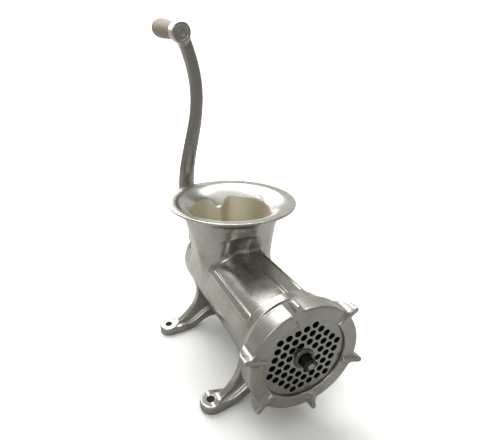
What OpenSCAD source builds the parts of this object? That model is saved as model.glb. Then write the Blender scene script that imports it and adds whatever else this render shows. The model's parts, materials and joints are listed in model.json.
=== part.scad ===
// Hand crank meat grinder, bolt-down pattern.
// Millimetres, +Z up. The origin lies on the bench, midway between the two
// front bolt holes. The barrel runs along Y, its open end faces -Y.

/* [Barrel] */
// Height of the barrel axis above the bench
axis_h = 95.5; // [90:0.5:100]
// Outside radius of the barrel
barrel_r = 49; // [48:0.5:50]
// Radius of the bore that the feed screw turns in
bore_r = 43; // [42.5:0.1:43.5]
// Rear face of the barrel, behind the plate's front face
barrel_len = 240; // [238:1:244]

/* [Hopper] */
// Hopper axis, behind the plate's front face
hopper_y = 183; // [180:1:186]
// Outside radius of the hopper rim
rim_r = 82; // [80:0.5:83]
// Height of the hopper rim above the barrel axis
rim_h = 104.5; // [102:0.5:108]

/* [Grinding plate] */
// Radius of the plate
plate_r = 49.75; // [49.5:0.05:49.8]
// Thickness of the plate
plate_t = 9.5; // [9:0.1:9.5]
// Distance between neighbouring holes
hole_pitch = 9.8; // [9.6:0.1:9.9]
// Diameter of each hole
hole_d = 7.4; // [6:0.1:7.8]
// Rows of holes from the middle to a corner of the pattern
hole_rows = 4; // [4]
// Turn of the hole pattern
hole_turn = 16.6; // [0:0.1:60]

/* [Ring nut] */
// Outside radius of the ring nut
ring_r = 61.5; // [60:0.1:62]
// Radius of the opening in its front
ring_open_r = 46.3; // [46:0.1:46.5]
// Number of grip lugs
lug_count = 6; // [4:1:8]
// Height of a lug above the ring
lug_h = 10.8; // [8:0.1:12]
// Turn of the first lug
lug_turn = -16.5; // [-30:0.5:30]

/* [Crank] */
// Crank arm, between the screw axis and the grip axis
crank_l = 302; // [290:1:310]
// Lean of the arm at rest
crank_lean = 4.9; // [0:0.1:10]
// Sideways swing of the arm's S curve
crank_sway = 15.5; // [10:0.1:18]
// Upward tilt of the grip, away from the arm
grip_tilt = 6.3; // [0:0.1:8]
// Length of the wooden grip
grip_l = 91; // [85:1:110]

/* [Feet] */
// Distance between the two front bolt holes
front_holes = 154; // [150:1:160]
// Distance between the two rear bolt holes
rear_holes = 172; // [166:1:176]
// Front bolt holes to rear bolt holes
hole_gap_y = 148; // [144:1:150]
// Diameter of a bolt hole
bolt_d = 9; // [8:0.5:10]

/* [Hidden] */
$fn = 64;
face_y = -57;
thread_r = 54.6;
thread_end = 17.4;
seat_clear = 0.1;
wall_y = 230;
boss_r = 25;
boss_end = 279;
bush_out_r = 18;
journal_r = 14;
fit = 0.05;
square_w = 19;
hub_front = 285;
hub_len = 28;
hub_mid = hub_front + hub_len / 2;
hub_back = hub_front + hub_len;
stud_r = 7;
knife_t = 11;
knife_y = plate_t + 0.15;
screw_front = knife_y + knife_t + 0.3;
screw_back = wall_y - 5.5;
flight_r = bore_r - 0.8;
foot_t = 11.5;
pad_r = 12.7;
rim_t = 3;
throat_r = 50;
seam_turn = 7;
band_a = 34;
pin_r = 2.2;
pin_ring = 48;
small_hub_r = 13;
small_hub_l = 21;
spindle_r = 5;

// Places its children on the barrel axis, local +Z towards the crank.
module on_axis(y) {
  translate([0, face_y + y, axis_h]) rotate([-90, 0, 0]) children();
}

// Places its children on the hopper axis at the height of the barrel axis.
module on_hopper() {
  translate([0, face_y + hopper_y, axis_h]) children();
}

// Rounded rectangle with true round corners.
module round_rect(half_x, half_y, r) {
  square([2 * half_x, 2 * (half_y - r)], center = true);
  square([2 * (half_x - r), 2 * half_y], center = true);
  for (sx = [-1, 1], sy = [-1, 1])
    translate([sx * (half_x - r), sy * (half_y - r)]) circle(r);
}

// ---- Body casting: barrel, neck, hopper and four legs in one piece ----

module barrel_skin() {
  rotate_extrude() polygon([
    [0, 1.2], [thread_r - 1, 1.2], [thread_r, 2.2], [thread_r, thread_end + 0.6],
    [thread_r + 1.4, thread_end + 0.6], [thread_r + 1.4, 24], [barrel_r + 2, 34],
    [barrel_r, 48], [barrel_r, barrel_len - 7], [barrel_r - 2, barrel_len - 2.5],
    [barrel_r - 6, barrel_len], [boss_r + 3, barrel_len],
    [boss_r, barrel_len + 3], [boss_r, boss_end - 1], [boss_r - 1, boss_end],
    [0, boss_end]]);
}

module barrel_hollow() {
  translate([0, 0, -5]) cylinder(r = plate_r + seat_clear, h = plate_t + 5);
  translate([0, 0, plate_t - 1]) cylinder(r = bore_r, h = wall_y - plate_t + 1);
  translate([0, 0, wall_y - 1]) cylinder(r = bush_out_r, h = boss_end - wall_y + 2);
  translate([0, pin_ring, 4]) cylinder(r = pin_r, h = 12);
}

// Raised strip along the top of the barrel, from the head to the neck.
module top_strip() {
  translate([1.5, face_y + 22, axis_h + barrel_r - 6])
    cube([18, hopper_y - 62, 8.2]);
}

// Raised band along each flank of the barrel, above its widest part.
module side_bands() {
  for (a = [band_a, 180 - band_a]) translate([0, face_y + 26, axis_h])
    rotate([0, -a, 0]) translate([barrel_r - 7, 0, -4.6]) cube([8.6, 148, 9.2]);
}

module neck_skin() {
  on_hopper() hull() {
    translate([0, 0, rim_h - 18]) cylinder(r = 60, h = 1, $fn = 48);
    for (sx = [-1, 1], sy = [-1, 1])
      translate([sx * 33, sy * 26, 8]) cylinder(r = 14, h = 1, $fn = 32);
  }
}

module hopper_skin() {
  on_hopper() rotate_extrude($fn = 96) polygon([
    [0, rim_h - 30], [56, rim_h - 30], [58.5, rim_h - 21], [63, rim_h - 13],
    [69.5, rim_h - 7], [76.5, rim_h - 3.4], [rim_r - 1, rim_h - 2.2],
    [rim_r, rim_h - 1.2], [rim_r, rim_h + 0.2], [rim_r - 1, rim_h + 1],
    [0, rim_h + 1]]);
}

// The seam turn keeps the start of this turned form off that of the skin.
module dish_hollow() {
  on_hopper() rotate(seam_turn) rotate_extrude($fn = 96) polygon([
    [0, rim_h - 26], [40, rim_h - 24], [54, rim_h - 15.5], [61, rim_h - 8.6],
    [69, rim_h - 3.4], [rim_r - rim_t, rim_h + 0.8], [rim_r - rim_t, rim_h + 4],
    [0, rim_h + 4]]);
}

// One half of the throat's outline: round, but cut back beside the rear rib.
function lobe(rx, ry) = concat(
  [[-1, -ry]], [for (a = [-90:10:70]) [rx * cos(a), ry * sin(a)]],
  [[-1, 0.74 * ry]]);

module throat_half(side) {
  on_hopper() hull() {
    translate([0, 0, rim_h - 15]) linear_extrude(1)
      scale([side, 1]) polygon(lobe(throat_r, throat_r));
    translate([0, 0, 4]) linear_extrude(1)
      scale([side, 1]) polygon(lobe(41, 33));
  }
}

// Cross beam of one pair of legs, seen along the barrel.
module yoke_outline(hole_x) {
  for (side = [-1, 1]) mirror([side < 0 ? 1 : 0, 0]) polygon([
    [-1, 15.5], [16, 15], [30, 13.5], [40, 12], [47, 8], [53, 3.4], [60, 0],
    [hole_x, 0], [hole_x, foot_t], [65, foot_t + 0.6], [56, 15],
    [47, 21.5], [38, 27.5], [22, 30], [-1, 30.5]]);
}

// Upright web of one pair of legs, seen along the barrel.
module web_outline(hole_x) {
  for (side = [-1, 1]) mirror([side < 0 ? 1 : 0, 0]) polygon([
    [-1, 24], [40, 24], [hole_x - 14, foot_t - 2], [hole_x - 8, foot_t],
    [62, 24], [54, 31], [46, 38.5], [41.5, 46], [40, 56], [40, 70], [-1, 64]]);
}

module leg_pair(y, hole_x) {
  translate([0, y + 12, 0]) rotate([90, 0, 0])
    linear_extrude(22) yoke_outline(hole_x);
  translate([0, y + 4, 0]) rotate([90, 0, 0])
    linear_extrude(8) web_outline(hole_x);
  for (side = [-1, 1]) translate([side * hole_x, y, 0])
    cylinder(r = pad_r, h = foot_t);
}

module body_casting() {
  color("Silver") difference() {
    union() {
      on_axis(0) barrel_skin();
      top_strip();
      side_bands();
      neck_skin();
      hopper_skin();
      leg_pair(0, front_holes / 2);
      leg_pair(hole_gap_y, rear_holes / 2);
    }
    on_axis(0) barrel_hollow();
    dish_hollow();
    throat_half(-1);
    throat_half(1);
    for (side = [-1, 1]) {
      translate([side * front_holes / 2, 0, -1]) cylinder(d = bolt_d, h = foot_t + 2);
      translate([side * rear_holes / 2, hole_gap_y, -1])
        cylinder(d = bolt_d, h = foot_t + 2);
    }
  }
}

// ---- Bearing parts fixed in the body ----

module ring(inner, outer, h) {
  difference() {
    cylinder(r = outer, h = h);
    translate([0, 0, -1]) cylinder(r = inner, h = h + 2);
  }
}

module rear_bush() {
  color("Goldenrod") on_axis(wall_y)
    ring(journal_r + fit, bush_out_r, boss_end - wall_y);
}

module thrust_washer() {
  color("Sienna") on_axis(wall_y - 3.5) ring(journal_r + 0.4, 30, 3.5);
}

module plate_pin() {
  color("DimGray") on_axis(4) translate([0, pin_ring, 0]) cylinder(r = pin_r, h = 12);
}

// ---- Turning parts: screw, stud and knife ----

// One slice of the flight: a wedge that narrows towards the rim.
module flight_slice() {
  polygon(concat(
    [for (a = [-34:17:34]) 15 * [cos(a), sin(a)]],
    [for (a = [24:-8:-24]) flight_r * [cos(a), sin(a)]]));
}

module feed_screw() {
  turns = 4;
  flight_l = screw_back - screw_front - 12;
  color("LightGray") difference() {
    union() {
      on_axis(screw_front) {
        cylinder(r = 16, h = screw_back - screw_front);
        translate([0, 0, 6]) linear_extrude(flight_l, twist = -360 * turns, slices = 64)
          flight_slice();
        translate([0, 0, screw_back - screw_front - 8]) cylinder(r = 26, h = 9.7);
      }
      on_axis(screw_back) cylinder(r = journal_r, h = hub_front - screw_back - 1);
      on_axis(hub_front - 1.5) translate([0, 0, (hub_len - 1) / 2])
        cube([square_w, square_w, hub_len - 1], center = true);
    }
    on_axis(screw_front - 1) cylinder(r = 9, h = 32);
    on_axis(hub_back - 26) cylinder(r = 5, h = 30);
  }
}

module screw_stud() {
  color("DimGray") {
    on_axis(0) rotate_extrude() polygon([
      [0, -12.5], [stud_r - 1.6, -12.5], [stud_r, -10.9],
      [stud_r, knife_y], [0, knife_y]]);
    on_axis(knife_y) translate([0, 0, (knife_t + 0.3) / 2])
      cube([15, 15, knife_t + 0.3], center = true);
    on_axis(screw_front) cylinder(r = 9, h = 31);
  }
}

module cross_knife() {
  color("Gainsboro") on_axis(knife_y) difference() {
    union() {
      cylinder(r = 17, h = knife_t);
      for (a = [0:90:270]) rotate(a + 20) linear_extrude(knife_t - 2)
        polygon([[0, -7], [22, -7], [41.5, -3], [42, 5], [22, 6], [0, 10]]);
    }
    translate([0, 0, knife_t / 2]) cube([15.2, 15.2, knife_t + 2], center = true);
  }
}

// ---- Plate and ring nut ----

// Hole centres of the hexagonal pattern, without the seven in the middle.
hole_places = [
  for (i = [-hole_rows:hole_rows], j = [-hole_rows:hole_rows])
    if (abs(i + j) <= hole_rows && max(abs(i), abs(j), abs(i + j)) > 1)
      hole_pitch * [i + j / 2, j * sqrt(3) / 2]];

module grinding_plate() {
  color("Gray") on_axis(0) difference() {
    cylinder(r = plate_r, h = plate_t);
    translate([0, 0, -1]) cylinder(r = 11.5, h = plate_t + 2);
    rotate(-hole_turn) for (p = hole_places)
      translate([p[0], p[1], -1]) cylinder(d = hole_d, h = plate_t + 2, $fn = 24);
    translate([-pin_r - 0.2, pin_ring - pin_r - 0.2, 3.7]) cube([2 * pin_r + 0.4, 8, 10]);
  }
}

module plate_bush() {
  color("Silver") on_axis(-2.6) {
    ring(stud_r + fit, 11.5, plate_t + 2.6);
  }
}

// One grip lug: a narrow land with a hollow sweep down each side.
module lug_outline() {
  tip = ring_r + lug_h;
  polygon([[ring_r - 3, -8], [ring_r + 0.4, -6.6], [ring_r + 2.6, -4.2],
           [ring_r + 6, -3], [tip - 1.2, -2.4], [tip, -1.2], [tip, 1.2],
           [tip - 1.2, 2.4], [ring_r + 6, 3], [ring_r + 2.6, 4.2],
           [ring_r + 0.4, 6.6], [ring_r - 3, 8]]);
}

module ring_nut() {
  front = -3;
  color("Silver") on_axis(0) {
    rotate_extrude() polygon([
      [ring_open_r, front + 1.2], [ring_open_r + 1.2, front], [ring_r - 4, front],
      [ring_r - 1.2, front + 1], [ring_r, front + 3.6], [ring_r + 0.4, thread_end],
      [thread_r + 0.35, thread_end], [thread_r + 0.35, 0], [ring_open_r, 0]]);
    for (k = [0:lug_count - 1]) rotate(-lug_turn - k * 360 / lug_count) {
      translate([0, 0, front + 1]) linear_extrude(thread_end - front - 1) lug_outline();
      translate([ring_open_r + 1, -2.2, front - 2.6])
        cube([ring_r + lug_h - ring_open_r - 3, 4.4, 4]);
    }
  }
}

// ---- Crank and grip ----

// Centre line of the arm at distance u from the screw axis.
function sway(u) = -crank_sway * sin(360 * (u - 6) / crank_l);
function arm_half(u) = 9.2 + 5.4 * max(0, 1 - u / 200);

module arm_outline() {
  steps = 36;
  us = [for (k = [0:steps]) 12 + k * (crank_l - 18) / steps];
  polygon(concat(
    [for (u = us) [sway(u) + arm_half(u), u]],
    [for (k = [steps:-1:0]) [sway(us[k]) - arm_half(us[k]), us[k]]]));
}

// The crank's own frame: origin on the screw axis, arm along +Z, leaning to -X.
module on_crank() {
  translate([0, face_y + hub_mid, axis_h]) rotate([0, -crank_lean, 0]) children();
}

// The grip's frame: origin in the middle of the small hub, +Z away from the body.
module on_grip() {
  on_crank() translate([0, 0, crank_l]) rotate([grip_tilt - 90, 0, 0]) children();
}

module crank_arm() {
  color("Silver") difference() {
    union() {
      on_crank() {
        translate([0, hub_len / 2, 0]) rotate([90, 0, 0]) cylinder(r = 19, h = hub_len);
        translate([0, 5.5, 0]) rotate([90, 0, 0]) linear_extrude(11) arm_outline();
      }
      on_grip() translate([0, 0, -small_hub_l / 2]) cylinder(r = small_hub_r, h = small_hub_l);
    }
    on_axis(hub_mid) cube([square_w + 0.2, square_w + 0.2, hub_len + 2], center = true);
    on_grip() translate([0, 0, -small_hub_l]) cylinder(r = spindle_r, h = 2 * small_hub_l);
    on_grip() translate([0, 0, -small_hub_l / 2 - 1]) cylinder(r = 8, h = 3);
  }
}

module crank_washer() {
  color("DimGray") on_axis(hub_back) ring(5.3, 15, 3);
}

module thumb_screw() {
  color("LightGray") {
    on_axis(hub_back - 23) cylinder(r = 5 - fit, h = 27);
    on_axis(hub_back + 3) cylinder(r = 9.5, h = 7);
    on_axis(hub_back + 9) rotate(80) translate([0, 2.25, 0]) rotate([90, 0, 0])
      linear_extrude(4.5) polygon([
        [-7, 0], [7, 0], [10, 3], [17, 7], [21, 13], [20, 19], [15, 21],
        [10, 17], [5, 9], [0, 7], [-5, 9], [-10, 17], [-15, 21], [-20, 19],
        [-21, 13], [-17, 7], [-10, 3]]);
  }
}

grip_start = small_hub_l / 2 + 4.2;

module grip_spindle() {
  color("DimGray") on_grip() {
    translate([0, 0, -small_hub_l / 2 + 0.6])
      cylinder(r = spindle_r, h = grip_start + grip_l - 5 + small_hub_l / 2 - 0.6);
    translate([0, 0, grip_start + grip_l - 5]) cylinder(r = 7.2, h = 3.6);
  }
}

module grip_washer() {
  color("DimGray") on_grip() translate([0, 0, small_hub_l / 2]) ring(spindle_r, 11.8, 4);
}

module wood_grip() {
  color("BurlyWood") on_grip() translate([0, 0, grip_start]) rotate_extrude() polygon([
    [spindle_r + fit, 0], [9.8, 0], [10.6, 1.2], [11.2, 18], [12.2, 40],
    [13.2, 64], [13.4, 76], [13, 83], [11.8, 88], [9.6, grip_l], [8.3, grip_l],
    [8.3, grip_l - 6.5], [spindle_r + fit, grip_l - 6.5]]);
}

module grip_end_washer() {
  color("Gray") on_grip() translate([0, 0, grip_start + grip_l - 6.4])
    ring(spindle_r, 8, 1.4);
}

body_casting();
rear_bush();
thrust_washer();
plate_pin();
feed_screw();
screw_stud();
cross_knife();
grinding_plate();
plate_bush();
ring_nut();
crank_arm();
crank_washer();
thumb_screw();
grip_spindle();
grip_washer();
wood_grip();
grip_end_washer();
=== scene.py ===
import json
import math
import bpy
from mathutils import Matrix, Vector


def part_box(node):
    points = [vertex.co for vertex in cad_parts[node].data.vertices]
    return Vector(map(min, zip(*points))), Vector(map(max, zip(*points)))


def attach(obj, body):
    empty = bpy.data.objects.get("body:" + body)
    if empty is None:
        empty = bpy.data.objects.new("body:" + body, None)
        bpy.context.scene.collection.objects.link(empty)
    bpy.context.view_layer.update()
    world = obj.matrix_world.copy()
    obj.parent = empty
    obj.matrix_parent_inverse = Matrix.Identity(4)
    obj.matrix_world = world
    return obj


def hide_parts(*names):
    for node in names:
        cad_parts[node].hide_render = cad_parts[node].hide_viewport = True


bl_info = {
    "name": "Meat Grinder Finish",
    "version": (1, 0, 0),
    "blender": (4, 5, 0),
    "location": "3D View > Sidebar > Grinder",
    "description": "Builds the finished pieces of a hand crank meat grinder on its CAD frame",
    "category": "Add Mesh",
}

import bmesh
import bpy
import numpy as np
from mathutils import Matrix, Vector

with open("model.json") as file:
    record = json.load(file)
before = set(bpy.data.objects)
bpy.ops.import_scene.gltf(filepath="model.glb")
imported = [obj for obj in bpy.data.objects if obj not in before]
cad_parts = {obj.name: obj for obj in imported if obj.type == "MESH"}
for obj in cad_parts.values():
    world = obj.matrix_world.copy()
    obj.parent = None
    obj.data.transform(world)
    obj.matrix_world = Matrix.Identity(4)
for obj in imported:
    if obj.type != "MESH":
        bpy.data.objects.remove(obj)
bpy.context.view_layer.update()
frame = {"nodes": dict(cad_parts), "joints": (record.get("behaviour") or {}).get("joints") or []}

# ---------------------------------------------------------------- frame sizes

MM = 0.001
PLATE_LOW, PLATE_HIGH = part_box("grinding_plate")
FACE_Y = PLATE_LOW.y
AXIS_Z = (PLATE_LOW.z + PLATE_HIGH.z) / 2
PLATE_RADIUS = (PLATE_HIGH.x - PLATE_LOW.x) / 2
PLATE_THICKNESS = PLATE_HIGH.y - PLATE_LOW.y
BODY_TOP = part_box("body_casting")[1].z
SCREW_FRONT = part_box("feed_screw")[0].y
HOPPER_Y = FACE_Y + 183 * MM
# Each pair of legs: half the distance between its bolt holes, and its place along Y.
BOLT_HOLES = ((77 * MM, 0), (86 * MM, 148 * MM))


def joint(name):
    """The joint of that name in the frame."""
    return next(item for item in frame["joints"] if item["name"] == name)


# ------------------------------------------------------------------- settings


class GrinderSizes(bpy.types.PropertyGroup):
    """Sizes that the finished pieces share with the frame."""

    barrel_radius: bpy.props.FloatProperty(
        name="Barrel radius", description="Outside of the barrel", default=49 * MM, unit="LENGTH")
    bore_radius: bpy.props.FloatProperty(
        name="Bore radius", description="Bore that the feed screw turns in", default=43 * MM, unit="LENGTH")
    rim_radius: bpy.props.FloatProperty(
        name="Rim radius", description="Outside of the hopper rim", default=82 * MM, unit="LENGTH")
    ring_radius: bpy.props.FloatProperty(
        name="Ring radius", description="Outside of the ring nut", default=61.5 * MM, unit="LENGTH")
    hole_pitch: bpy.props.FloatProperty(
        name="Hole pitch", description="Between neighbouring plate holes", default=9.8 * MM, unit="LENGTH")
    hole_diameter: bpy.props.FloatProperty(
        name="Hole diameter", description="Of each plate hole", default=7.4 * MM, unit="LENGTH")
    hole_turn: bpy.props.FloatProperty(
        name="Hole turn", description="Turn of the hole pattern about the plate's axis",
        default=math.radians(16.6), subtype="ANGLE")
    cell: bpy.props.FloatProperty(
        name="Casting cell", description="Mesh size of the big casting", default=1.9 * MM, unit="LENGTH")


class GrinderFinish(bpy.types.PropertyGroup):
    """Colours of the finished surfaces."""

    tin: bpy.props.FloatVectorProperty(
        name="Tinned casting", description="Bright tin on the castings",
        default=(0.46, 0.45, 0.42), subtype="COLOR", min=0, max=1)
    # The stain colour is also the colour of the painted shade in recesses.
    stain: bpy.props.FloatVectorProperty(
        name="Grease stain", description="Olive film left in the corners",
        default=(0.19, 0.18, 0.13), subtype="COLOR", min=0, max=1)
    ground: bpy.props.FloatVectorProperty(
        name="Ground steel", description="Plate and knife",
        default=(0.36, 0.36, 0.35), subtype="COLOR", min=0, max=1)
    dark: bpy.props.FloatVectorProperty(
        name="Dark steel", description="Stud and washers",
        default=(0.05, 0.048, 0.042), subtype="COLOR", min=0, max=1)
    wood: bpy.props.FloatVectorProperty(
        name="Grip wood", description="Pale worn wood",
        default=(0.235, 0.2, 0.135), subtype="COLOR", min=0, max=1)


class GrinderStage(bpy.types.PropertyGroup):
    """Camera and studio."""

    azimuth: bpy.props.FloatProperty(
        name="Azimuth", description="Camera's turn to the right of the barrel",
        default=math.radians(-20.47), subtype="ANGLE")
    elevation: bpy.props.FloatProperty(
        name="Elevation", description="Camera's height angle", default=math.radians(24.61), subtype="ANGLE")
    roll: bpy.props.FloatProperty(
        name="Roll", description="Camera's roll", default=math.radians(-0.52), subtype="ANGLE")
    distance: bpy.props.FloatProperty(
        name="Distance", description="Camera from the plate's centre, along its line of sight",
        default=0.3763, unit="LENGTH")
    side: bpy.props.FloatProperty(
        name="Side offset", description="Camera's offset to its right", default=-0.0942, unit="LENGTH")
    rise: bpy.props.FloatProperty(
        name="Rise", description="Camera's offset upwards", default=0.1252, unit="LENGTH")
    lens: bpy.props.FloatProperty(
        name="Lens", description="Focal length in millimetres", default=27.46)
    shift: bpy.props.FloatVectorProperty(
        name="Lens shift", description="Sideways and upwards, in sensor widths",
        default=(0.083, 0.0226), size=2)
    backdrop: bpy.props.FloatVectorProperty(
        name="Backdrop", description="Floor as the camera sees it",
        default=(0.95, 0.95, 0.95), subtype="COLOR")
    bounce: bpy.props.FloatVectorProperty(
        name="Bounce", description="Floor as the metal mirrors it",
        default=(0.45, 0.447, 0.425), subtype="COLOR")
    surround: bpy.props.FloatVectorProperty(
        name="Surround", description="Soft light of the room",
        default=(0.31, 0.305, 0.275), subtype="COLOR")


# ------------------------------------------------------------- distance fields


def soft_min(a, b, r):
    """Union of two fields with a fillet of about r."""
    h = np.clip(0.5 + 0.5 * (b - a) / r, 0, 1)
    return b * (1 - h) + a * h - r * h * (1 - h)


def soft_max(a, b, r):
    """Intersection of two fields with a rounded edge of about r."""
    return -soft_min(-a, -b, r)


def smooth_step(t):
    """Eased ramp from 0 to 1."""
    t = np.clip(t, 0, 1)
    return t * t * (3 - 2 * t)


def rounded_box(x, y, z, half, r):
    """Box of those half sizes with edges of radius r."""
    qx = np.abs(x) - half[0] + r
    qy = np.abs(y) - half[1] + r
    qz = np.abs(z) - half[2] + r
    outside = np.sqrt(np.maximum(qx, 0) ** 2 + np.maximum(qy, 0) ** 2 + np.maximum(qz, 0) ** 2)
    return outside + np.minimum(np.maximum(qx, np.maximum(qy, qz)), 0) - r


def rounded_rectangle(x, y, half_x, half_y, r):
    """Distance to a rectangle whose corners have radius r, in one plane."""
    qx = np.abs(x) - half_x + r
    qy = np.abs(y) - half_y + r
    return np.hypot(np.maximum(qx, 0), np.maximum(qy, 0)) + np.minimum(np.maximum(qx, qy), 0) - r


def drum(radius, along, low, high, size, edge):
    """Cylinder between two planes: radius and along are the coordinates."""
    return soft_max(radius - size, np.abs(along - (low + high) / 2) - (high - low) / 2, edge)


def slope_of(field, points, h):
    """Gradient of a field at scattered points."""
    slope = np.empty_like(points)
    for a in range(3):
        step = np.zeros(3)
        step[a] = h
        slope[:, a] = (field(*(points + step).T) - field(*(points - step).T)) / (2 * h)
    return slope


def grid_line(low, high, step, fine=()):
    """Coordinates from low to high, with smaller steps inside the fine stretches."""
    line = [low - 1.3 * step]
    while line[-1] < high + 1.6 * step:
        here = line[-1]
        scale = min([s for a, b, s in fine if a - step < here < b] or [1])
        line.append(here + step * scale)
    return np.array(line)


def net_quads(inside, axis, index):
    """Faces of a surface net across the grid edges along one axis."""
    other = [a for a in range(3) if a != axis]
    first = np.take(inside, range(inside.shape[axis] - 1), axis)
    second = np.take(inside, range(1, inside.shape[axis]), axis)
    cross = first != second
    for a in other:
        keep = np.zeros(cross.shape[a], bool)
        keep[1:-1] = True
        shape = [1, 1, 1]
        shape[a] = -1
        cross &= keep.reshape(shape)
    at = np.argwhere(cross)
    flip = first[tuple(at.T)] != (axis == 1)
    corners = []
    for j, k in ((-1, -1), (0, -1), (0, 0), (-1, 0)):
        cell = at.copy()
        cell[:, other[0]] += j
        cell[:, other[1]] += k
        corners.append(index[tuple(cell.T)])
    quads = np.stack(corners, 1)
    quads[~flip] = quads[~flip][:, ::-1]
    return quads


def field_mesh(name, field, low, high, step, fine=((), (), ())):
    """Mesh of a field's zero surface, with its exact normals and an occlusion estimate stored for painted
    shade.
    """
    lines = [grid_line(low[a], high[a], step, fine[a]) for a in range(3)]
    grid = np.meshgrid(*lines, indexing="ij", sparse=True)
    value = np.broadcast_to(field(*grid), [len(line) for line in lines])
    inside = value < 0
    count = np.zeros([n - 1 for n in inside.shape], int)
    for i, j, k in np.ndindex(2, 2, 2):
        count += inside[i:i + count.shape[0], j:j + count.shape[1], k:k + count.shape[2]]
    cells = np.argwhere((count > 0) & (count < 8))
    index = np.full(count.shape, -1)
    index[tuple(cells.T)] = np.arange(len(cells))
    total = np.zeros((len(cells), 3))
    hits = np.zeros(len(cells))
    for axis in range(3):
        for j, k in np.ndindex(2, 2):
            start = cells.copy()
            start[:, (axis + 1) % 3] += j
            start[:, (axis + 2) % 3] += k
            end = start.copy()
            end[:, axis] += 1
            a = value[tuple(start.T)]
            b = value[tuple(end.T)]
            cross = (a < 0) != (b < 0)
            t = np.where(cross, a / np.where(cross, a - b, 1), 0)
            p0 = np.stack([lines[c][start[:, c]] for c in range(3)], 1)
            p1 = np.stack([lines[c][end[:, c]] for c in range(3)], 1)
            total += np.where(cross[:, None], p0 + (p1 - p0) * t[:, None], 0)
            hits += cross
    points = total / hits[:, None]
    for _ in range(3):
        slope = slope_of(field, points, step * 0.05)
        length = np.maximum((slope ** 2).sum(1), 0.2)
        move = (field(*points.T) / length)[:, None] * slope
        reach = np.linalg.norm(move, axis=1, keepdims=True)
        points = points - move * np.minimum(1, 0.4 * step / np.maximum(reach, 1e-12))
    slope = slope_of(field, points, step * 0.2)
    normals = slope / np.maximum(np.linalg.norm(slope, axis=1, keepdims=True), 1e-9)
    quads = np.concatenate([net_quads(inside, axis, index) for axis in range(3)])
    mesh = mesh_from(name, points, quads, normals)
    # Painted shade: how closed in each point is, read from the field a few reaches out along the normal,
    # darkens recesses and the gaps between parts in the metal's colour.
    shade = np.zeros(len(points))
    for reach in (2.5 * MM, 6 * MM, 14 * MM, 30 * MM):
        shade += np.clip(1 - field(*(points + normals * reach).T) / reach, 0, 1) / 4
    painted_shade = mesh.attributes.new("painted_shade", "FLOAT", "POINT")
    painted_shade.data.foreach_set("value", shade.astype(np.float32))
    return mesh


def mesh_from(name, points, faces, normals=None):
    """Mesh from arrays of points and equal-sided faces."""
    faces = np.asarray(faces)
    mesh = bpy.data.meshes.new(name)
    mesh.vertices.add(len(points))
    mesh.vertices.foreach_set("co", np.asarray(points, np.float32).ravel())
    mesh.loops.add(faces.size)
    mesh.loops.foreach_set("vertex_index", faces.ravel().astype(np.int32))
    mesh.polygons.add(len(faces))
    starts = np.arange(0, faces.size, faces.shape[1], dtype=np.int32)
    mesh.polygons.foreach_set("loop_start", starts)
    mesh.polygons.foreach_set("use_smooth", np.ones(len(faces), bool))
    mesh.update(calc_edges=True)
    mesh.validate()
    if normals is not None:
        mesh.normals_split_custom_set_from_vertices(normals.tolist())
    return mesh


# --------------------------------------------------------------- body casting


def barrel_profile(y):
    """Outside radius of the barrel at a distance behind the plate's face."""
    r = bpy.context.scene.grinder_sizes.barrel_radius
    return r + 7 * MM * (1 - smooth_step((y - 20 * MM) / (22 * MM)))


def barrel_field(x, y, z):
    """Barrel, rear boss, the raised strip on top and a band along each flank."""
    r = bpy.context.scene.grinder_sizes.barrel_radius
    rho = np.hypot(x, z)
    shell = soft_max(rho - barrel_profile(y), np.abs(y - 129 * MM) - 111 * MM, 6 * MM)
    thread = soft_max(rho - 54.2 * MM, np.abs(y - 20 * MM) - 18.8 * MM, 1 * MM)
    boss = drum(rho, y, 200 * MM, 278.6 * MM, 25 * MM, 3 * MM)
    shell = soft_min(shell, thread, 0.4 * MM)
    shell = soft_min(shell, boss, 7 * MM)
    strip_y, strip_half = 88 * MM, 66 * MM
    strip = rounded_box(x - 10.5 * MM, y - strip_y, z - (r - 3 * MM),
                        (9.2 * MM, strip_half, 5.1 * MM), 1.2 * MM)
    shell = soft_min(shell, strip, 1.5 * MM)
    bead = np.hypot(x - 18.9 * MM, z - (r + 1.6 * MM)) - 1.3 * MM
    bead = soft_max(bead, np.abs(y - strip_y) - strip_half, 1 * MM)
    shell = soft_min(shell, bead, 0.8 * MM)
    angle = math.radians(34)
    along = np.abs(x) * math.cos(angle) + z * math.sin(angle)
    across = -np.abs(x) * math.sin(angle) + z * math.cos(angle)
    band = rounded_box(along - (r - 3 * MM), across, y - 100 * MM, (4 * MM, 4.2 * MM, 74 * MM), 1.2 * MM)
    return soft_min(shell, band, 2 * MM)


def neck_field(x, y, z):
    """Neck below the hopper, about its own axis, with a bead and a flute in front."""
    t = np.clip((z - 10 * MM) / (80 * MM), 0, 1)
    half_x = (48 + 13 * t ** 1.8) * MM
    half_y = (40 + 20 * t ** 2.2) * MM
    corner = (22 + 36 * t ** 1.4) * MM
    wall = rounded_rectangle(x, y, half_x, half_y, np.minimum(corner, half_y - 1 * MM))
    front = smooth_step(-y / (24 * MM)) * smooth_step((82 * MM - z) / (20 * MM))
    panel = 1.6 * MM * smooth_step((x - 0.2 * MM) / (2.4 * MM))
    bead = 1.5 * MM * np.exp(-((x - 3.4 * MM) / (1.5 * MM)) ** 2)
    flute = 4.2 * MM * np.exp(-((x + 9 * MM) / (8.5 * MM)) ** 2) * smooth_step((z - 30 * MM) / (26 * MM))
    wall = wall - (panel + bead - flute) * front
    return soft_max(wall, np.abs(z - 43 * MM) - 43 * MM, 3 * MM)


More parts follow.
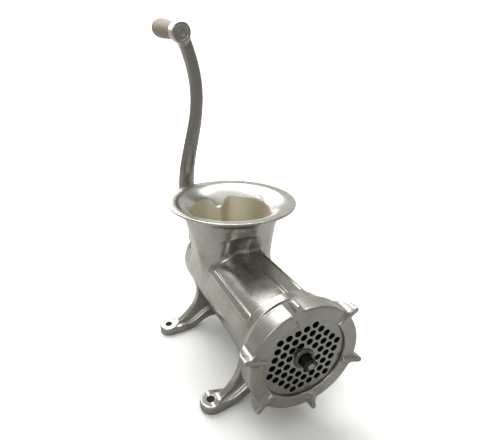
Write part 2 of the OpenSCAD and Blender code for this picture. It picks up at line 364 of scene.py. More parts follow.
def bell_field(rho, z, rim, rim_z):
    """Bell of the hopper, filled in: the dish is cut out of it later."""
    foot = 56 * MM
    s = np.clip((rho - foot) / (rim - foot), 0, 1)
    under = rim_z - 2.4 * MM - 26 * MM * (1 - s) ** 2.6
    slope = 26 * MM * 2.6 * (1 - s) ** 1.6 / (rim - foot)
    solid = (under - z) / np.sqrt(1 + slope ** 2)
    solid = soft_max(solid, rho - rim + 0.1 * MM, 1.6 * MM)
    return soft_max(solid, z - rim_z - 0.9 * MM, 1.2 * MM)


def dish_field(rho, z, rim, rim_z):
    """Hollow of the hopper's dish: negative inside it."""
    foot = 40 * MM
    s = np.clip((rho - foot) / (rim - 2.6 * MM - foot), 0, 1)
    surface = rim_z + 1 * MM - 24 * MM * (1 - s) ** 1.9
    slope = 24 * MM * 1.9 * (1 - s) ** 0.9 / (rim - 2.6 * MM - foot)
    above = (surface - z) / np.sqrt(1 + slope ** 2)
    return soft_max(above, rho - rim + 2.4 * MM, 0.8 * MM)


def throat_field(x, y, z):
    """Hollow of the throat, about the hopper's axis: two lobes with a rib behind."""
    t = np.clip((z - 4 * MM) / (86 * MM), 0, 1)
    wide = (41 + 9 * t ** 1.6) * MM
    deep = (31 + 19 * t ** 2) * MM
    radial = np.hypot(x / wide, y / deep)
    hollow = (radial - 1) * np.minimum(wide, deep)
    rib = (0.80 * deep - y + 0.5 * np.hypot(x, 0.8 * MM)) * 0.89
    hollow = soft_max(hollow, -rib, 4 * MM)
    return soft_max(hollow, 4 * MM - z, 1 * MM)


def leg_field(x, y, z, hole_x):
    """One pair of legs about its own plane: arched yoke, webs and pads."""
    side = np.abs(x)
    arch = 17 * MM
    rise = smooth_step((60 * MM - side) / (38 * MM))
    middle = 5.75 * MM + arch * rise
    thick = (5.75 + 1.75 * rise) * MM
    half_w = (10.0 + 2.5 * smooth_step((side - 52 * MM) / (20 * MM))) * MM
    strap = soft_max((np.abs(z - middle) - thick) * 0.88, np.abs(y) - half_w, 2.2 * MM)
    strap = soft_max(strap, side - hole_x, 1 * MM)
    pad = drum(np.hypot(side - hole_x, y), z, 0 * MM, 11.6 * MM, 12.6 * MM, 2 * MM)
    strap = soft_min(strap, pad, 2 * MM)
    t = np.clip((z - 10 * MM) / (50 * MM), 0, 1)
    edge = 42 * MM + (hole_x - 50 * MM) * (1 - t) ** 2.2
    web = soft_max((side - edge) * 0.75, np.abs(y) - 4 * MM, 1.5 * MM)
    web = soft_max(web, np.abs(z - 37 * MM) - 33 * MM, 1 * MM)
    web = np.maximum(web, middle - z)
    return soft_min(strap, web, 3.5 * MM)


def body_field(x, y, z):
    """Whole body casting in the part's frame."""
    sizes = bpy.context.scene.grinder_sizes
    rim_z = BODY_TOP - 1 * MM
    yh = y - HOPPER_Y
    yb = y - FACE_Y
    zb = z - AXIS_Z
    rho = np.hypot(x, yh)
    rb = np.hypot(x, zb)
    neck = neck_field(x, yh, zb)
    neck = soft_min(neck, bell_field(rho, z, sizes.rim_radius, rim_z), 5 * MM)
    solid = soft_min(barrel_field(x, yb, zb), neck, 7 * MM)
    front, rear = [leg_field(x, y - hole_y, z, hole_x) for hole_x, hole_y in BOLT_HOLES]
    solid = soft_min(solid, np.minimum(front, rear), 5 * MM)
    solid = soft_max(solid, -z, 0.8 * MM)
    solid = soft_max(solid, -throat_field(x, yh, zb), 1.4 * MM)
    solid = soft_max(solid, -dish_field(rho, z, sizes.rim_radius, rim_z), 1.5 * MM)
    bore = drum(rb, yb, 8 * MM, 230 * MM, sizes.bore_radius, 1 * MM)
    seat = drum(rb, yb, -20 * MM, PLATE_THICKNESS, PLATE_RADIUS + 0.1 * MM, 0.3 * MM)
    journal = drum(rb, yb, 220 * MM, 300 * MM, 18 * MM, 0.3 * MM)
    solid = np.maximum(np.maximum(solid, -bore), -seat)
    solid = soft_max(solid, -journal, 1 * MM)
    for hole_x, hole_y in BOLT_HOLES:
        hole = np.hypot(np.abs(x) - hole_x, y - hole_y) - 4.5 * MM
        solid = soft_max(solid, -hole, 0.6 * MM)
    return solid


# ------------------------------------------------------------------- ring nut


def ring_field(x, y, z):
    """Ring nut with its swept lugs, on the barrel axis."""
    radius = bpy.context.scene.grinder_sizes.ring_radius
    yb = y - FACE_Y
    zb = z - AXIS_Z
    rho = np.hypot(x, zb)
    middle, half_width = 7.2 * MM, 10.2 * MM
    solid = soft_max(rho - radius, np.abs(yb - middle) - half_width, 2.6 * MM)
    between, lug_turn = math.radians(60), math.radians(16.5)
    local = np.mod(np.arctan2(zb, x) + lug_turn + between / 2, between) - between / 2
    out = rho * np.cos(local)
    across = rho * np.sin(local)
    rise = np.clip((out - radius) / (11 * MM), 0, 1)
    half = (2.3 + 0.9 * (1 - rise)) * MM
    fall = 10.6 * MM * (1 - np.clip((yb - 1 * MM) / (16 * MM), 0, 1) ** 2.2)
    lug = soft_max(np.abs(across) - half, (rho - radius - fall) * 0.78, 2 * MM)
    lug = soft_max(lug, radius - 6 * MM - rho, 1 * MM)
    slant = (yb - middle) + 0.35 * np.maximum(out - radius, 0)
    lug = soft_max(lug, np.abs(slant) - half_width, 2 * MM)
    ridge = soft_max(np.abs(across) - 2.3 * MM, np.abs(yb + 2.2 * MM) - 3.3 * MM, 1.6 * MM)
    ridge = soft_max(ridge, rho - radius - 8 * MM, 2 * MM)
    ridge = soft_max(ridge, 46.9 * MM - rho, 1 * MM)
    solid = soft_min(solid, lug, 5.5 * MM)
    solid = soft_min(solid, ridge, 2.4 * MM)
    opening = soft_max(46.4 * MM - rho, 0 * yb - 1, 0.1 * MM)
    solid = soft_max(solid, opening, 1.2 * MM)
    thread = np.maximum(rho - 54.95 * MM, -yb - 0.25 * MM)
    return soft_max(solid, -thread, 0.5 * MM)


# ---------------------------------------------------------------------- crank


def crank_frame():
    """Screw axis point, arm direction, side direction and length of the crank."""
    grip = joint("grip_spin")
    start = Vector((0, grip["pos_m"][1], AXIS_Z))
    arm = Vector(grip["pos_m"]) - start
    length = arm.length
    arm.normalize()
    side = Vector((arm.z, 0, -arm.x))
    return start, arm, side, length


def crank_field(x, y, z):
    """S-curved arm with a hub at each end."""
    start, arm, side, length = crank_frame()
    grip_axis = Vector(joint("grip_spin")["axis"])
    u = x * arm.x + (z - start.z) * arm.z
    v = x * side.x + (z - start.z) * side.z
    w = y - start.y
    phase = 2 * math.pi * (u - 6 * MM) / length
    sway = -15.5 * MM * np.sin(phase)
    lean = -15.5 * MM * 2 * math.pi / length * np.cos(phase)
    across = (v - sway) / np.sqrt(1 + lean ** 2)
    t = np.clip(u / length, 0, 1)
    half_v = 9.3 * MM + 5.4 * MM * np.clip(1 - u / (200 * MM), 0, 1)
    half_w = (7.2 - 1.6 * t) * MM
    oval = (np.sqrt((across / half_v) ** 2 + (w / half_w) ** 2 + 1e-9) - 1) * half_w
    bar = soft_max(np.abs(across) - half_v, np.abs(w) - half_w, 4.5 * MM)
    shaft = 0.8 * oval + 0.2 * bar
    shaft = soft_max(shaft, np.abs(u - length / 2) - length / 2 + 6 * MM, 2 * MM)
    low_r = np.hypot(u, v)
    low_hub = soft_max(low_r - 19 * MM, np.abs(w) - 14 * MM, 2.5 * MM)
    gx = x - (start.x + arm.x * length)
    gz = z - (start.z + arm.z * length)
    g = gx * grip_axis.x + w * grip_axis.y + gz * grip_axis.z
    high_r = np.sqrt(np.maximum(gx ** 2 + w ** 2 + gz ** 2 - g ** 2, 0))
    high_hub = soft_max(high_r - 13 * MM, np.abs(g) - 10.5 * MM, 2.4 * MM)
    dimple = soft_max(high_r - 9 * MM, np.abs(g + 11 * MM) - 1.3 * MM, 0.8 * MM)
    solid = soft_min(shaft, low_hub, 7 * MM)
    solid = soft_min(solid, high_hub, 5 * MM)
    solid = soft_max(solid, -dimple, 1 * MM)
    solid = soft_max(solid, 5 * MM - high_r, 0.8 * MM)
    square = np.maximum(np.abs(x), np.abs(z - start.z)) - 9.6 * MM
    return soft_max(solid, -square, 0.8 * MM)


# ---------------------------------------------------------------- thumb screw


def thumb_field(x, y, z):
    """Wing screw behind the crank."""
    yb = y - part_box("crank_washer")[1].y
    zb = z - AXIS_Z
    rho = np.hypot(x, zb)
    collar = soft_max(rho - 9.4 * MM, np.abs(yb - 3.5 * MM) - 3.5 * MM, 1.5 * MM)
    shank = drum(rho, yb, -26 * MM, 2 * MM, 4.95 * MM, 0.8 * MM)
    turn = math.radians(80)
    u = x * math.cos(turn) - zb * math.sin(turn)
    v = x * math.sin(turn) + zb * math.cos(turn)
    wing = np.hypot(np.abs(u) - 14 * MM, (yb - 17 * MM) * 0.8) - 6.2 * MM
    neck = rounded_rectangle(np.abs(u) - 7 * MM, yb - 9 * MM, 5.5 * MM, 4.5 * MM, 3 * MM)
    core = rounded_rectangle(u, yb - 8 * MM, 7 * MM, 5 * MM, 3 * MM)
    wing = soft_min(soft_min(wing, neck, 5 * MM), core, 3 * MM)
    wing = soft_max(wing, np.abs(v) - 2.4 * MM, 1.8 * MM)
    solid = soft_min(collar, wing, 2 * MM)
    return np.minimum(solid, shank)


# -------------------------------------------------------------- turned pieces


def turned(name, profile, start, axis, sides=96):
    """Closed piece turned from (radius, along) points; a bored one closes on itself."""
    axis = Vector(axis).normalized()
    across = axis.orthogonal().normalized()
    third = axis.cross(across)
    angles = np.arange(sides) * 2 * math.pi / sides
    rings = []
    for r, h in profile:
        ring = [start + axis * h + (across * math.cos(a) + third * math.sin(a)) * r for a in angles]
        rings.append(np.array([tuple(p) for p in ring]))
    points = np.concatenate(rings)
    count = len(profile)
    bored = profile[0][0] > 0 and profile[-1][0] > 0
    faces = []
    for k in range(count if bored else count - 1):
        k2 = (k + 1) % count
        a = np.arange(sides)
        b = (a + 1) % sides
        faces.append(np.stack([k * sides + a, k2 * sides + a, k2 * sides + b, k * sides + b], 1))
    mesh = mesh_from(name, points, np.concatenate(faces))
    merge_and_face_out(mesh)
    return mesh


def merge_and_face_out(mesh, flat_angle=None):
    """Merges doubled points, points the faces outwards and marks sharp edges."""
    work = bmesh.new()
    work.from_mesh(mesh)
    bmesh.ops.remove_doubles(work, verts=work.verts, dist=1e-7)
    if flat_angle:
        bmesh.ops.dissolve_limit(work, angle_limit=flat_angle, verts=work.verts, edges=work.edges)
    bmesh.ops.recalc_face_normals(work, faces=work.faces)
    for edge in work.edges:
        edge.smooth = not edge.is_manifold or edge.calc_face_angle() < math.radians(35)
    work.to_mesh(mesh)
    work.free()


def rounded_profile(corners, radius, steps=3):
    """Turned outline whose corners are rounded with short arcs."""
    outline = []
    count = len(corners)
    for k, corner in enumerate(corners):
        here = Vector(corner)
        before = Vector(corners[k - 1]) - here
        after = Vector(corners[(k + 1) % count]) - here
        if here.x == 0 or before.length < 1e-9 or after.length < 1e-9:
            outline.append(tuple(here))
            continue
        cut = min(radius, before.length * 0.45, after.length * 0.45)
        a = here + before.normalized() * cut
        b = here + after.normalized() * cut
        for i in range(steps + 1):
            t = i / steps
            outline.append(tuple(a * (1 - t) ** 2 + here * 2 * t * (1 - t) + b * t ** 2))
    return outline


def sleeve(name, radii, along, rounding, start, axis=(0, 1, 0), sides=96):
    """Washer or sleeve turned between two radii; an inner radius of 0 makes a pin."""
    inner, outer = radii
    low, high = along
    outline = [(inner, low), (outer, low), (outer, high), (inner, high)]
    return turned(name, rounded_profile(outline, rounding), start, axis, sides)


# ----------------------------------------------------------------- feed screw


def screw_mesh():
    """Feed screw's helical flight, closed at both ends."""
    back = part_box("thrust_washer")[0].y - 2 * MM
    flight = bpy.context.scene.grinder_sizes.bore_radius - 0.9 * MM
    turns = 4
    steps = turns * 56
    root = 14.5
    half = [(root, 9), (20, 6.6), (30, 4.6), (39, 3.4), (41.2, 3), (42, 1.6)]
    outline = [(r, -w) for r, w in half] + half[::-1]
    points = []
    for i in range(steps + 1):
        t = i / steps
        angle = -2 * math.pi * turns * t
        y = SCREW_FRONT + 10 * MM + (back - SCREW_FRONT - 20 * MM) * t
        fade = min(1, 10 * t + 0.35, 10 * (1 - t) + 0.35)
        for r, w in outline:
            radius = root * MM + (min(r * MM, flight) - root * MM) * fade
            points.append((radius * math.cos(angle), y + w * MM, AXIS_Z - radius * math.sin(angle)))
    count = len(outline)
    faces = []
    for i in range(steps):
        for k in range(count):
            a = i * count + k
            b = i * count + (k + 1) % count
            faces.append((a, b, b + count, a + count))
    mesh = mesh_from("feed_flight", np.array(points), np.array(faces))
    ends = [list(range(count)), list(range(steps * count, (steps + 1) * count))]
    work = bmesh.new()
    work.from_mesh(mesh)
    work.verts.ensure_lookup_table()
    for ring in ends:
        work.faces.new([work.verts[i] for i in ring])
    bmesh.ops.recalc_face_normals(work, faces=work.faces)
    work.to_mesh(mesh)
    work.free()
    return mesh


# -------------------------------------------------------------- grinding plate


def add_node(tree, kind, place=(0, 0), **values):
    """Adds a node and sets its attributes and, by name, its unlinked inputs."""
    node = tree.nodes.new(kind)
    node.location = (place[0] * 190, place[1] * -170)
    for key, value in values.items():
        if hasattr(node, key):
            setattr(node, key, value)
        else:
            node.inputs[key.replace("_", " ").title()].default_value = value
    return node


def new_socket(tree, name, kind, value=None, output=False):
    """Adds a named socket to a node group."""
    made = tree.interface.new_socket(name=name, in_out="OUTPUT" if output else "INPUT", socket_type=kind)
    if value is not None:
        made.default_value = value
    return made


def maths(tree, operation, a, b=None, c=None):
    """Math node: each term is a socket or a number."""
    node = tree.nodes.new("ShaderNodeMath")
    node.operation = operation
    for slot, term in enumerate((a, b, c)):
        if term is None:
            continue
        if isinstance(term, (int, float)):
            node.inputs[slot].default_value = term
        else:
            tree.links.new(term, node.inputs[slot])
    return node.outputs[0]


def plate_tree():
    """Geometry nodes for a round plate with a hexagonal pattern of holes."""
    tree = bpy.data.node_groups.new("drilled plate", "GeometryNodeTree")
    new_socket(tree, "Geometry", "NodeSocketGeometry", output=True)
    new_socket(tree, "Pitch", "NodeSocketFloat", 9.8 * MM)
    new_socket(tree, "Hole Radius", "NodeSocketFloat", 3.7 * MM)
    rows = 4
    new_socket(tree, "Rows", "NodeSocketFloat", rows)
    new_socket(tree, "Plate Radius", "NodeSocketFloat", PLATE_RADIUS)
    new_socket(tree, "Bush Radius", "NodeSocketFloat", 11.5 * MM)
    new_socket(tree, "Thickness", "NodeSocketFloat", PLATE_THICKNESS)
    new_socket(tree, "Turn", "NodeSocketFloat", 0.0)
    new_socket(tree, "Material", "NodeSocketMaterial")
    link = tree.links.new
    given = add_node(tree, "NodeGroupInput", (-6, 0)).outputs
    grid = add_node(tree, "GeometryNodeMeshGrid", (-6, 2), size_x=2.0 * rows, size_y=2.0 * rows,
                    vertices_x=2 * rows + 1, vertices_y=2 * rows + 1)
    spot = tree.nodes.new("ShaderNodeSeparateXYZ")
    link(tree.nodes.new("GeometryNodeInputPosition").outputs[0], spot.inputs[0])
    i, j = spot.outputs[0], spot.outputs[1]
    total = maths(tree, "ABSOLUTE", maths(tree, "ADD", i, j))
    ring = maths(tree, "MAXIMUM", maths(tree, "ABSOLUTE", i), maths(tree, "ABSOLUTE", j))
    ring = maths(tree, "MAXIMUM", ring, total)
    outer = maths(tree, "GREATER_THAN", total, maths(tree, "ADD", given["Rows"], 0.5))
    inner = maths(tree, "LESS_THAN", ring, 1.5)
    unwanted = maths(tree, "MAXIMUM", outer, inner)
    delete = add_node(tree, "GeometryNodeDeleteGeometry", (-3, 2))
    link(grid.outputs["Mesh"], delete.inputs["Geometry"])
    link(unwanted, delete.inputs["Selection"])
    x = maths(tree, "MULTIPLY", maths(tree, "MULTIPLY_ADD", j, 0.5, i), given["Pitch"])
    y = maths(tree, "MULTIPLY", maths(tree, "MULTIPLY", j, math.sqrt(3) / 2), given["Pitch"])
    place = tree.nodes.new("ShaderNodeCombineXYZ")
    link(x, place.inputs[0])
    link(y, place.inputs[1])
    shear = add_node(tree, "GeometryNodeSetPosition", (-2, 2))
    link(delete.outputs[0], shear.inputs["Geometry"])
    link(place.outputs[0], shear.inputs["Position"])
    spin = add_node(tree, "GeometryNodeTransform", (-1, 2))
    turned_by = tree.nodes.new("ShaderNodeCombineXYZ")
    link(given["Turn"], turned_by.inputs[2])
    link(shear.outputs[0], spin.inputs["Geometry"])
    link(turned_by.outputs[0], spin.inputs["Rotation"])
    circles = []
    for radius, sides in (("Hole Radius", 28), ("Bush Radius", 64), ("Plate Radius", 144)):
        circle = add_node(tree, "GeometryNodeCurvePrimitiveCircle", (-2, 4), resolution=sides)
        link(given[radius], circle.inputs["Radius"])
        circles.append(circle.outputs[0])
    stamp = add_node(tree, "GeometryNodeInstanceOnPoints", (0, 2))
    link(spin.outputs[0], stamp.inputs["Points"])
    link(circles[0], stamp.inputs["Instance"])
    solid_holes = add_node(tree, "GeometryNodeRealizeInstances", (1, 2))
    link(stamp.outputs[0], solid_holes.inputs[0])
    gather = add_node(tree, "GeometryNodeJoinGeometry", (2, 2))
    for part in (solid_holes.outputs[0], circles[1], circles[2]):
        link(part, gather.inputs[0])
    fill = add_node(tree, "GeometryNodeFillCurve", (3, 2))
    link(gather.outputs[0], fill.inputs["Curve"])
    raise_up = add_node(tree, "GeometryNodeExtrudeMesh", (4, 2))
    raise_up.inputs["Individual"].default_value = False
    link(fill.outputs[0], raise_up.inputs["Mesh"])
    link(given["Thickness"], raise_up.inputs["Offset Scale"])
    under = add_node(tree, "GeometryNodeFlipFaces", (4, 4))
    link(fill.outputs[0], under.inputs[0])
    both = add_node(tree, "GeometryNodeJoinGeometry", (5, 2))
    link(raise_up.outputs[0], both.inputs[0])
    link(under.outputs[0], both.inputs[0])
    weld = add_node(tree, "GeometryNodeMergeByDistance", (6, 2))
    link(both.outputs[0], weld.inputs[0])
    real = add_node(tree, "GeometryNodeRealizeInstances", (7, 2))
    link(weld.outputs[0], real.inputs[0])
    paint = add_node(tree, "GeometryNodeSetMaterial", (8, 2))
    link(real.outputs[0], paint.inputs["Geometry"])
    link(given["Material"], paint.inputs["Material"])
    link(paint.outputs[0], add_node(tree, "NodeGroupOutput", (9, 2)).inputs[0])
    return tree


def set_input(modifier, name, value):
    """Sets a geometry nodes input by the identifier of its socket."""
    for item in modifier.node_group.interface.items_tree:
        if item.item_type == "SOCKET" and item.in_out == "INPUT" and item.name == name:
            modifier[item.identifier] = value
            return
    raise KeyError(name)


def plain_copy(obj, name):
    """Plain mesh of an object with its modifiers applied; the object is removed."""
    bpy.context.view_layer.update()
    graph = bpy.context.evaluated_depsgraph_get()
    mesh = bpy.data.meshes.new_from_object(obj.evaluated_get(graph), depsgraph=graph)
    mesh.name = name
    bpy.data.objects.remove(obj)
    return mesh


def with_bevel(mesh, name, width):
    """The same mesh with its sharp edges rounded."""
    obj = bpy.data.objects.new(name + "_work", mesh)
    bpy.context.scene.collection.objects.link(obj)
    bevel = obj.modifiers.new("bevel", "BEVEL")
    bevel.width = width
    bevel.segments = 2
    bevel.limit_method = "ANGLE"
    bevel.angle_limit = math.radians(35)
    bevel.harden_normals = True
    bevel.use_clamp_overlap = True
    return plain_copy(obj, name)


def merged_node(node):
    """A merged copy of a CAD node's mesh, ready for a bevel."""
    mesh = frame["nodes"][node].data.copy()
    mesh.name = node
    if mesh.has_custom_normals:
        mesh.attributes.remove(mesh.attributes["custom_normal"])
    merge_and_face_out(mesh, math.radians(1))
    for polygon in mesh.polygons:
        polygon.use_smooth = True
    return mesh


# ------------------------------------------------------------------ materials


def grain_group():
    """Cast surface: grain, slow waves and scattered pits."""
    tree = bpy.data.node_groups.new("casting grain", "ShaderNodeTree")
    new_socket(tree, "Vector", "NodeSocketVector")
    new_socket(tree, "Grain", "NodeSocketFloat", 0.4)
    new_socket(tree, "Waves", "NodeSocketFloat", 0.5)
    new_socket(tree, "Pits", "NodeSocketFloat", 0.5)
    new_socket(tree, "Height", "NodeSocketFloat", output=True)
    new_socket(tree, "Mottle", "NodeSocketFloat", output=True)
    new_socket(tree, "Pit Mask", "NodeSocketFloat", output=True)
    link = tree.links.new
    given = add_node(tree, "NodeGroupInput", (-4, 0)).outputs
    fine = add_node(tree, "ShaderNodeTexNoise", (-3, 0), scale=700.0, detail=4.0, roughness=0.6)
    wave = add_node(tree, "ShaderNodeTexNoise", (-3, 1), scale=45.0, detail=2.0)
    spots = add_node(tree, "ShaderNodeTexVoronoi", (-3, 2), scale=160.0)
    mottle = add_node(tree, "ShaderNodeTexNoise", (-3, 3), scale=28.0, detail=6.0, roughness=0.62)
    for node in (fine, wave, spots, mottle):
        link(given["Vector"], node.inputs["Vector"])
    hole = ranged(tree, spots.outputs["Distance"], 0, 1, 0.09, 0.03)
    where = maths(tree, "GREATER_THAN", mottle.outputs[0], 0.55)
    pits = maths(tree, "MULTIPLY", maths(tree, "MULTIPLY", hole, where), given["Pits"])
    height = maths(tree, "MULTIPLY", fine.outputs[0], given["Grain"])
    height = maths(tree, "ADD", height, maths(tree, "MULTIPLY", wave.outputs[0], given["Waves"]))
    height = maths(tree, "SUBTRACT", height, pits)
    out = add_node(tree, "NodeGroupOutput", (2, 0))
    link(height, out.inputs["Height"])
    link(mottle.outputs[0], out.inputs["Mottle"])
    link(pits, out.inputs["Pit Mask"])
    return tree


def rub_grime_and_painted_light_group():
    """Rubbed edges with a painted highlight, and dirty corners with painted shade from the occlusion
    estimate, from the shape itself.
    """
    tree = bpy.data.node_groups.new("edge wear", "ShaderNodeTree")
    new_socket(tree, "Break Up", "NodeSocketFloat", 0.5)
    new_socket(tree, "Painted Shade", "NodeSocketFloat", 0.0)
    new_socket(tree, "Edges", "NodeSocketFloat", output=True)
    new_socket(tree, "Corners", "NodeSocketFloat", output=True)
    link = tree.links.new
    given = add_node(tree, "NodeGroupInput", (-4, 0)).outputs
    shape = add_node(tree, "ShaderNodeNewGeometry", (-4, 1)).outputs["Pointiness"]
    noise = add_node(tree, "ShaderNodeTexNoise", (-3, 2), scale=120.0, detail=3.0)
    coords = add_node(tree, "ShaderNodeTexCoord", (-4, 2))
    link(coords.outputs["Object"], noise.inputs["Vector"])
    shift = maths(tree, "MULTIPLY", maths(tree, "SUBTRACT", noise.outputs[0], 0.5), given["Break Up"])
    shift = maths(tree, "MULTIPLY", shift, 0.08)
    value = maths(tree, "ADD", shape, shift)
    corner = ranged(tree, value, 0, 1, 0.47, 0.38)
    # Painted shade: the occlusion estimate, broken up by noise, marks the recesses to be darkened.
    hollow = ranged(tree, maths(tree, "ADD", given["Painted Shade"], shift), 0, 1, 0.3, 0.85)
    out = add_node(tree, "NodeGroupOutput", (2, 0))
    # Lighter convex edges: rubbed wear together with a painted highlight along the edges.
    link(ranged(tree, value, 0, 1, 0.52, 0.60), out.inputs["Edges"])
    # Corners: concave dirt together with painted shade.
    link(maths(tree, "MAXIMUM", corner, hollow), out.inputs["Corners"])
    return tree


def use_group(tree, group, **values):
    """Places a node group in a material, with its own values."""
    node = tree.nodes.new("ShaderNodeGroup")
    node.node_tree = group
    for key, value in values.items():
        node.inputs[key.replace("_", " ").title()].default_value = value
    return node


def blend_colours(tree, factor, a, b):
    """Mix of two colours by a mask."""
    mix = tree.nodes.new("ShaderNodeMix")
    mix.data_type = "RGBA"
    for socket, term in ((mix.inputs[0], factor), (mix.inputs[6], a), (mix.inputs[7], b)):
        if hasattr(term, "is_linked"):
            tree.links.new(term, socket)
        elif isinstance(term, (int, float)):
            socket.default_value = term
        else:
            socket.default_value = (*term, 1)
    return mix.outputs[2]


def ranged(tree, value, low, high, from_low=0.0, from_high=1.0):
    """Value mapped on to a range."""
    node = tree.nodes.new("ShaderNodeMapRange")
    node.inputs["From Min"].default_value = from_low
    node.inputs["From Max"].default_value = from_high
    node.inputs["To Min"].default_value = low
    node.inputs["To Max"].default_value = high
    tree.links.new(value, node.inputs["Value"])
    return node.outputs[0]


def start_material(name):
    """A new node material: its tree, shader and Object coordinates."""
    material = bpy.data.materials.new(name)
    material.use_nodes = True
    tree = material.node_tree
    shader = tree.nodes["Principled BSDF"]
    coords = add_node(tree, "ShaderNodeTexCoord", (-6, 0)).outputs["Object"]
    return material, tree, shader, coords


def metal(name, colour, stain, rough, grain, waves, pits, bump, film=0.5):
    """Metal with grain, a greasy film, thicker in the corners, painted shade in the recesses, and bright
    edges of rubbed wear with a painted highlight.
    """
    material, tree, shader, coords = start_material(name)
    link = tree.links.new
    surface = use_group(tree, bpy.data.node_groups["casting grain"], grain=grain, waves=waves, pits=pits)
    link(coords, surface.inputs["Vector"])
    rub_grime_and_painted_light = use_group(tree, bpy.data.node_groups["edge wear"], break_up=0.6)
    # Painted shade: the occlusion estimate darkens recesses through the corner mix and also roughens them.
    hollow = add_node(tree, "ShaderNodeAttribute", (-6, 2), attribute_name="painted_shade")
    link(hollow.outputs["Fac"], rub_grime_and_painted_light.inputs["Painted Shade"])
    stain_and_painted_shade = ranged(tree, surface.outputs["Mottle"], 0, film, 0.42, 0.78)
    # The stain mix takes in painted shade here, besides the real film and pits.
    stain_and_painted_shade = maths(tree, "MAXIMUM", stain_and_painted_shade, maths(tree, "MULTIPLY", rub_grime_and_painted_light.outputs["Corners"], 0.8))
    stain_and_painted_shade = maths(tree, "MAXIMUM", stain_and_painted_shade, surface.outputs["Pit Mask"])
    # Painted light: inside the throat the colour turns to a lighter tan and the surface rougher.
    inner = add_node(tree, "ShaderNodeAttribute", (-6, 3), attribute_name="painted_throat_light").outputs["Fac"]
    base = blend_colours(tree, stain_and_painted_shade, colour, stain)
    base = blend_colours(tree, maths(tree, "MULTIPLY", inner, 0.9), base, (0.66, 0.62, 0.50))
    # Painted highlight together with rubbed wear: convex edges take a lighter copy of the colour.
    bright = tuple(min(1, c * 1.7) for c in colour)
    base = blend_colours(tree, maths(tree, "MULTIPLY", rub_grime_and_painted_light.outputs["Edges"], 0.6), base, bright)
    link(base, shader.inputs["Base Color"])
    shader.inputs["Metallic"].default_value = 1
    uneven = ranged(tree, surface.outputs["Mottle"], rough * 0.75, rough * 1.45, 0.3, 0.7)
    dull = maths(tree, "MAXIMUM", maths(tree, "MULTIPLY", inner, 0.62), hollow.outputs["Fac"])
    link(maths(tree, "MAXIMUM", uneven, dull), shader.inputs["Roughness"])
    relief = add_node(tree, "ShaderNodeBump", (-1, 2), strength=bump, distance=0.3 * MM)
    link(surface.outputs["Height"], relief.inputs["Height"])
    link(relief.outputs[0], shader.inputs["Normal"])
    return material


def wood_material(name, colour):
    """Pale turned wood, worn and a little soiled, grain along the grip."""
    material, tree, shader, coords = start_material(name)
    link = tree.links.new
    turn = add_node(tree, "ShaderNodeMapping", (-5, 0))
    turn.inputs["Location"].default_value = (0.03, -0.3, -0.39)
    turn.inputs["Scale"].default_value = (1, 0.07, 1)
    link(coords, turn.inputs["Vector"])
    fibres = add_node(tree, "ShaderNodeTexNoise", (-4, 0), scale=420.0, detail=5.0, roughness=0.65)
    streaks = add_node(tree, "ShaderNodeTexNoise", (-4, 1), scale=90.0, detail=3.0)
    soil = add_node(tree, "ShaderNodeTexNoise", (-4, 2), scale=55.0, detail=4.0)
    link(turn.outputs[0], fibres.inputs["Vector"])
    link(turn.outputs[0], streaks.inputs["Vector"])
    link(coords, soil.inputs["Vector"])
    darker = tuple(c * 0.62 for c in colour)
    base = blend_colours(tree, ranged(tree, streaks.outputs[0], 0, 0.7, 0.35, 0.7), colour, darker)
    base = blend_colours(tree, ranged(tree, fibres.outputs[0], 0, 0.35, 0.4, 0.75), base, darker)
    grime = tuple(c * 0.4 for c in colour)
    base = blend_colours(tree, ranged(tree, soil.outputs[0], 0, 0.5, 0.52, 0.8), base, grime)
    link(base, shader.inputs["Base Color"])
    link(ranged(tree, fibres.outputs[0], 0.5, 0.72), shader.inputs["Roughness"])
    relief = add_node(tree, "ShaderNodeBump", (-1, 2), strength=0.35, distance=0.15 * MM)
    link(fibres.outputs[0], relief.inputs["Height"])
    link(relief.outputs[0], shader.inputs["Normal"])
    return material


def fibre_material(name):
    """Pressed red-brown fibre."""
    material, tree, shader, coords = start_material(name)
    noise = add_node(tree, "ShaderNodeTexNoise", (-4, 0), scale=600.0, detail=5.0)
    tree.links.new(coords, noise.inputs["Vector"])
    base = blend_colours(tree, noise.outputs[0], (0.20, 0.07, 0.04), (0.34, 0.14, 0.08))
    tree.links.new(base, shader.inputs["Base Color"])
    tree.links.new(ranged(tree, noise.outputs[0], 0.6, 0.85), shader.inputs["Roughness"])
    return material


